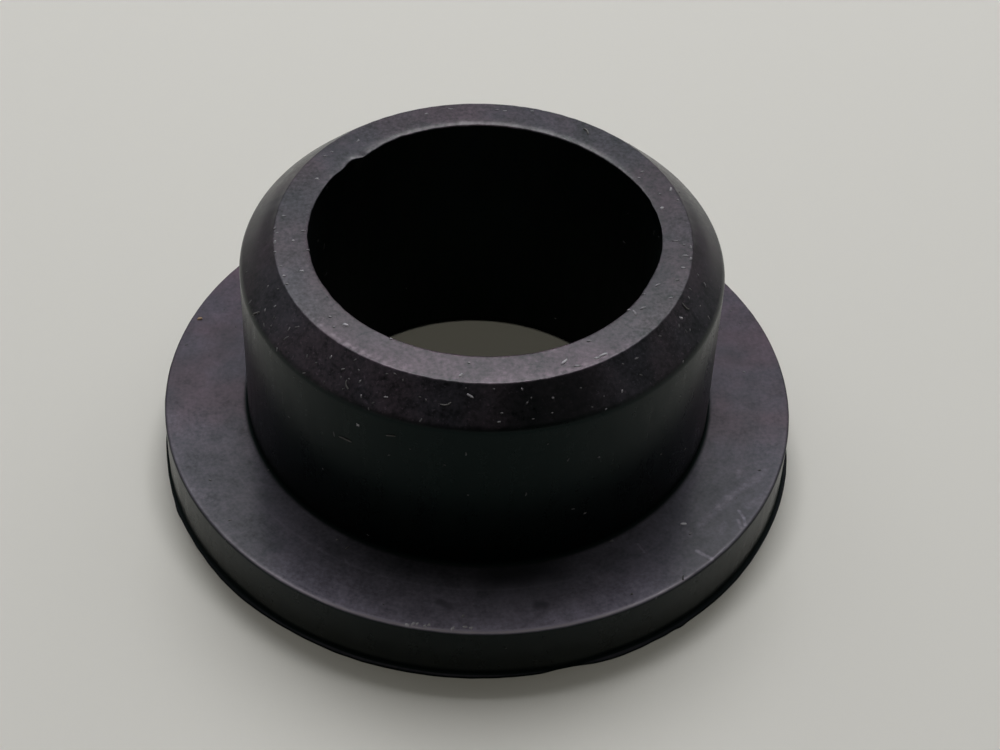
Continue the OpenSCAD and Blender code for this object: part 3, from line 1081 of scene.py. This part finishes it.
# %% [markdown]
# What dust is made of
# Dust is matt and pale, and no two grains match. Each fleck and each fibre carries its own paleness as an
# attribute of its points, and a little noise does the rest. Lint is cotton, and the brown grain is grit.

# %% Dust, lint and grit
DUST_DARK = (0.012, 0.012, 0.012, 1)
DUST_PALE = (0.49, 0.475, 0.525, 1)
LINT_DARK = (0.03, 0.03, 0.03, 1)
LINT_PALE = (0.20, 0.195, 0.195, 1)
BROWN_DARK = (0.15, 0.09, 0.05, 1)
BROWN_PALE = (0.42, 0.30, 0.20, 1)
DUST_BLOBS, LINT_BLOBS = 0.1 * MM, 0.2 * MM
BLOB_SPAN = (0.25, 0.75)
FLECK_EVEN, FLECK_BLOTCHED = 0.7, 0.5
DARK_MATT, PALE_MATT = 0.75, 0.2
BROWN_LONG, BROWN_WIDE = np.array([0.27 * MM]), np.array([0.2 * MM])


def matt_finish(name, dark, pale, blobs, by_fleck=False):
    """A matt colour between dark and pale, by a cloud of noise and, for dust, by each fleck's paleness."""
    material, shader, start = new_material(name)
    at = start.node("ShaderNodeTexCoord", output="Object")
    share = start.noise(at, blobs, 2.0, 0.6).between(*BLOB_SPAN)
    if by_fleck:
        paleness = start.node("ShaderNodeAttribute", {"attribute_name": "paleness"}, output="Fac")
        share = paleness * (FLECK_EVEN + FLECK_BLOTCHED * share)
    feed(start, shader, "Base Color", share.clamped().mixed(dark, pale))
    feed(start, shader, "Roughness", DARK_MATT + PALE_MATT * share.clamped())
    return material


pale_dust = matt_finish("pale_dust", DUST_DARK, DUST_PALE, DUST_BLOBS, True)
dust = add_piece("dust_flecks", fleck_points, fleck_faces, pale_dust)
write_values(dust, "paleness", np.repeat(np.concatenate([fleck_pale, stray_pale]), fleck_points.shape[1]))
cotton_lint = matt_finish("cotton_lint", LINT_DARK, LINT_PALE, LINT_BLOBS, True)
lint = add_piece("lint_fibres", lint_points, lint_faces, cotton_lint)
write_values(lint, "paleness", np.repeat([pale for _, pale, _ in LINT_PATHS], PATH_STEPS * TUBE_SIDES))
brown_at, brown_normal, _ = on_the_ring([BROWN_GRAIN])
brown_along = lay_flat(camera_right[None], brown_normal)
brown_points, brown_faces = flecks(brown_at, brown_normal, brown_along, BROWN_LONG, BROWN_WIDE)
brown_grit = matt_finish("brown_grit", BROWN_DARK, BROWN_PALE, DUST_BLOBS)
add_piece("brown_grain", brown_points, brown_faces, brown_grit)
print("dust, lint and one brown grain lie on the ring")

# %% [markdown]
# The bench and the light
# The ring stands on a plain pale bench, which fades far out into the grey that the camera sees as sky.
# One large soft lamp hangs behind it, as a window would, so the faces that look up shine and the ring
# throws its soft shadow forwards. A weaker lamp stands on either side of that one, and a faint warm one
# fills from above.
# The sky around is dim, and dimmest towards the camera: black rubber mirrors it.

# %% A plain pale floor
FLOOR_GREY = (0.735, 0.727, 0.694, 1)
FLOOR_ROUGH = 0.6
FLOOR_SHEEN = 0.2
FLOOR_HALF = 3.0
FADE = (0.11, 0.3)
SKY_SEEN = 0.6
SKY_TINT = (1.0, 0.99, 0.97, 1)


def pale_floor():
    """The bench: it keeps the ring's shadow, and far out it fades into the grey that is seen as sky."""
    material, shader, start = new_material("pale_floor")
    shader.inputs["Base Color"].default_value = FLOOR_GREY
    shader.inputs["Roughness"].default_value = FLOOR_ROUGH
    shader.inputs["Specular IOR Level"].default_value = FLOOR_SHEEN
    at = start.node("ShaderNodeTexCoord", output="Object")
    seen = start.node("ShaderNodeLightPath", output="Is Camera Ray")
    faded = seen * start.vector("LENGTH", at, output="Value").between(*FADE)
    haze = start.node("ShaderNodeEmission", None, {"Color": SKY_TINT, "Strength": SKY_SEEN})
    lit = Wire(start.tree, shader.outputs[0])
    surface = start.node("ShaderNodeMixShader", None, {0: faded, 1: lit, 2: haze})
    feed(start, start.tree.nodes["Material Output"], "Surface", surface)
    mesh = bpy.data.meshes.new("floor")
    corners = FLOOR_HALF * np.array([(-1, -1, 0), (1, -1, 0), (1, 1, 0), (-1, 1, 0)])
    mesh.from_pydata(corners, [], [(0, 1, 2, 3)])
    mesh.materials.append(material)
    floor = bpy.data.objects.new("floor", mesh)
    bpy.context.scene.collection.objects.link(floor)


pale_floor()
print(f"floor {2 * FLOOR_HALF:.0f} m wide")

# %% Four soft lamps and a dim sky
LAMP_FAR = 0.7
BACK_RISE, SIDE_RISE, TOP_RISE = 58, 45, 105
BACK_WATTS, SIDE_WATTS, TOP_WATTS = 2.95, 0.46, 0.33
BACK_WIDE, BACK_TALL = 0.42, 0.27
SIDE_WIDE, SIDE_TALL = 0.5, 0.4
TOP_SIZE = 0.3
SIDE_TURN = 45
TOP_TINT = (1.0, 0.96, 0.80)
SKY_LOW = 0.012
SKY_BACK = 0.12
SKY_SIDE = 0.17


def soft_lamp(name, turn_deg, rise_deg, wide, tall, watts, tint=(1, 1, 1)):
    """A flat lamp that faces the ring: so far round from straight behind, and so far up from the bench."""
    lamp = bpy.data.objects.new(name, bpy.data.lights.new(name, "AREA"))
    bpy.context.scene.collection.objects.link(lamp)
    lamp.data.shape = "RECTANGLE"
    lamp.data.size = wide
    lamp.data.size_y = tall
    lamp.data.energy = watts
    lamp.data.color = tint
    turn, climb = np.radians(turn_deg), np.radians(rise_deg)
    direction = Vector((np.sin(turn) * np.cos(climb), np.cos(turn) * np.cos(climb), np.sin(climb)))
    lamp.location = direction * LAMP_FAR
    lamp.rotation_euler = direction.to_track_quat("Z", "Y").to_euler()


def dim_sky():
    """Sky light that grows towards the back and towards both sides."""
    world = bpy.data.worlds.new("dim_sky")
    world.use_nodes = True
    bpy.context.scene.world = world
    start = Wire(world.node_tree)
    direction = start.node("ShaderNodeTexCoord", output="Generated")
    right = start.node("ShaderNodeSeparateXYZ", None, {0: direction}, "X")
    back = start.node("ShaderNodeSeparateXYZ", None, {0: direction}, "Y")
    glow = SKY_LOW + SKY_BACK * back.clamped() + SKY_SIDE * right * right
    seen = start.node("ShaderNodeLightPath", output="Is Camera Ray")
    background = world.node_tree.nodes["Background"]
    background.inputs["Color"].default_value = SKY_TINT
    feed(start, background, "Strength", glow * (1 - seen) + SKY_SEEN * seen)


soft_lamp("back_window", 0, BACK_RISE, BACK_WIDE, BACK_TALL, BACK_WATTS)
soft_lamp("left_window", -SIDE_TURN, SIDE_RISE, SIDE_WIDE, SIDE_TALL, SIDE_WATTS)
soft_lamp("right_window", SIDE_TURN, SIDE_RISE, SIDE_WIDE, SIDE_TALL, SIDE_WATTS)
soft_lamp("ceiling_lamp", 0, TOP_RISE, TOP_SIZE, TOP_SIZE, TOP_WATTS, TOP_TINT)
dim_sky()
bpy.context.scene.view_settings.view_transform = "Standard"
print("lamps:", [light.name for light in bpy.data.lights])
